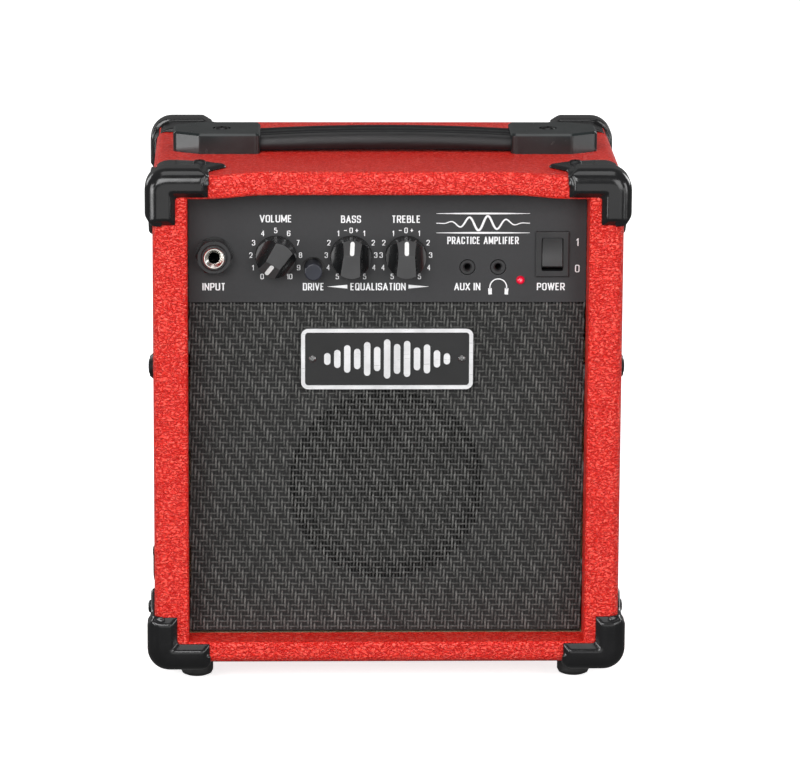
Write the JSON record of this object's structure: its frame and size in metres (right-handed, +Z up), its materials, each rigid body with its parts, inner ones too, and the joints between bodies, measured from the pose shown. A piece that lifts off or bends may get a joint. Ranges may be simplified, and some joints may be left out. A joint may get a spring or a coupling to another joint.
{
  "type": "guitar amplifier",
  "caption": "Small box-shaped practice guitar amplifier with a vinyl-covered cabinet, woven grille, recessed control panel, carrying handle and moulded corner covers.",
  "frame": {"origin": "on the surface that the feet stand on, under the middle of the cabinet", "axes": "+X to the right of a person facing the front, +Y from the front to the back, +Z up"},
  "size_m": [0.2704, 0.1844, 0.3054],
  "materials": {
    "badge_grey": "satin",
    "basket_steel": "black powder coat",
    "black_plastic": "satin",
    "black_screw": "black oxide",
    "board_wood": "bare particle board",
    "capacitor_sleeve": "heat-shrink sleeve",
    "circuit_board": "solder mask",
    "coil_tape": "wound tape",
    "cone_paper": "pressed pulp",
    "core_iron": "laminated",
    "corner_plastic": "glossy",
    "foot_rubber": "matt",
    "grille_cloth": "woven, matt",
    "handle_plastic": "satin",
    "jack_chrome": "polished",
    "knob_plastic": "satin",
    "lamp_red": "tinted, lit",
    "lead_black": "PVC insulation",
    "lead_red": "PVC insulation",
    "magnet_ferrite": "ground ferrite",
    "panel_paint": "satin charcoal with white print",
    "pot_metal": "nickel plated",
    "rear_board": "black paint",
    "red_vinyl": "leather-grain vinyl, satin",
    "spider_cloth": "resin-stiffened",
    "strap_rubber": "satin, ribbed",
    "surround_foam": "foam",
    "tray_steel": "zinc plated",
    "zinc_screw": "zinc plated"
  },
  "bodies": {
    "root": {"badge_plate": "badge_grey", "badge_screws": "black_screw", "baffle_board": "board_wood", "bottom_board": "board_wood", "chassis_tray": "tray_steel", "control_panel": "panel_paint", "corner_screws": "black_screw", "corners_front_bottom": "corner_plastic", "corners_front_top": "corner_plastic", "corners_rear_bottom": "corner_plastic", "corners_rear_top": "corner_plastic", "cup_washers": "black_screw", "drive_switch": "black_plastic", "filter_capacitors": "capacitor_sleeve", "foot_screws": "zinc_screw", "grille_cloth": "grille_cloth", "handle_cap_left": "handle_plastic", "handle_cap_right": "handle_plastic", "handle_screws": "black_screw", "input_jack_nut": "black_plastic", "input_jack_sleeve": "jack_chrome", "jack_housings": "black_plastic", "main_circuit_board": "circuit_board", "mains_inlet": "black_plastic", "mains_leads": "lead_black", "pot_bodies": "pot_metal", "pot_nuts": "zinc_screw", "power_lamp": "lamp_red", "power_switch": "black_plastic", "rear_panel": "rear_board", "rear_panel_screws": "black_screw", "rubber_feet": "foot_rubber", "side_board_left": "board_wood", "side_board_right": "board_wood", "side_screws": "black_screw", "speaker_basket": "basket_steel", "speaker_leads": "lead_red", "speaker_magnet": "magnet_ferrite", "speaker_screws": "black_screw", "speaker_spider": "spider_cloth", "speaker_surround": "surround_foam", "strap_left": "strap_rubber", "strap_right": "strap_rubber", "top_board": "board_wood", "transformer_coil": "coil_tape", "transformer_core": "core_iron", "vinyl_covering": "red_vinyl", "wooden_cleats": "board_wood"},
    "volume_control": {"volume_knob": "knob_plastic", "volume_shaft": "pot_metal"},
    "bass_control": {"bass_knob": "knob_plastic", "bass_shaft": "pot_metal"},
    "treble_control": {"treble_knob": "knob_plastic", "treble_shaft": "pot_metal"},
    "drive_push": {"drive_button": "knob_plastic"},
    "power_rocker_body": {"power_rocker": "black_plastic"},
    "handle_grip": {"strap_grip": "strap_rubber"},
    "cone_assembly": {"speaker_cone": "cone_paper", "dust_cap": "cone_paper", "voice_coil": "coil_tape"}
  },
  "joints": [
    {"name": "volume_turn", "type": "hinge", "parent": "root", "child": "volume_control", "pos_m": [-0.0625, -0.075, 0.2441], "axis": [0, 1, 0], "range_deg": [0, 294]},
    {"name": "bass_turn", "type": "hinge", "parent": "root", "child": "bass_control", "pos_m": [-0.0204, -0.075, 0.2441], "axis": [0, 1, 0], "range_deg": [-151, 143]},
    {"name": "treble_turn", "type": "hinge", "parent": "root", "child": "treble_control", "pos_m": [0.0103, -0.075, 0.2441], "axis": [0, 1, 0], "range_deg": [-148, 146]},
    {"name": "drive_press", "type": "slide", "parent": "root", "child": "drive_push", "axis": [0, 1, 0], "range_m": [0, 0.003], "stiffness_N_per_m": 400},
    {"name": "power_rock", "type": "hinge", "parent": "root", "child": "power_rocker_body", "pos_m": [0.0923, -0.062, 0.2452], "axis": [1, 0, 0], "range_deg": [0, 20]},
    {"name": "strap_lift", "type": "slide", "parent": "root", "child": "handle_grip", "axis": [0, 0, 1], "range_m": [0, 0.012], "stiffness_N_per_m": 300, "deforming": ["strap_left", "strap_right"]},
    {"name": "cone_travel", "type": "slide", "parent": "root", "child": "cone_assembly", "axis": [0, -1, 0], "range_m": [-0.0025, 0.0025], "stiffness_N_per_m": 1200, "deforming": ["speaker_surround", "speaker_spider"]}
  ]
}
